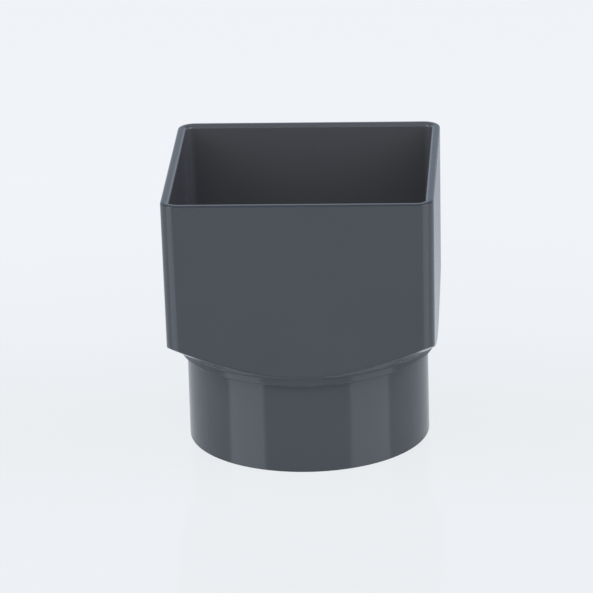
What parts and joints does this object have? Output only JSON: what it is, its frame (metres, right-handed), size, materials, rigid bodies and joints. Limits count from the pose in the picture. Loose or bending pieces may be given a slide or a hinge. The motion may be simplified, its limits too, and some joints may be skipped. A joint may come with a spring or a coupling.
{
  "type": "downspout adapter",
  "caption": "Rainwater adapter moulded in one piece: a square socket above takes a square downpipe, and a round spigot below fits inside a round one.",
  "frame": {"origin": "centre of the spigot's open end, which it stands on", "axes": "+Z along the axis of the flow, from the round spigot up to the square socket; X and Y square to the socket's walls"},
  "size_m": [0.071, 0.071, 0.0753],
  "materials": {
    "body": "smooth moulded plastic, dark grey, with a soft gloss"
  },
  "bodies": {
    "root": {"adapter_body": "body"}
  },
  "joints": []
}
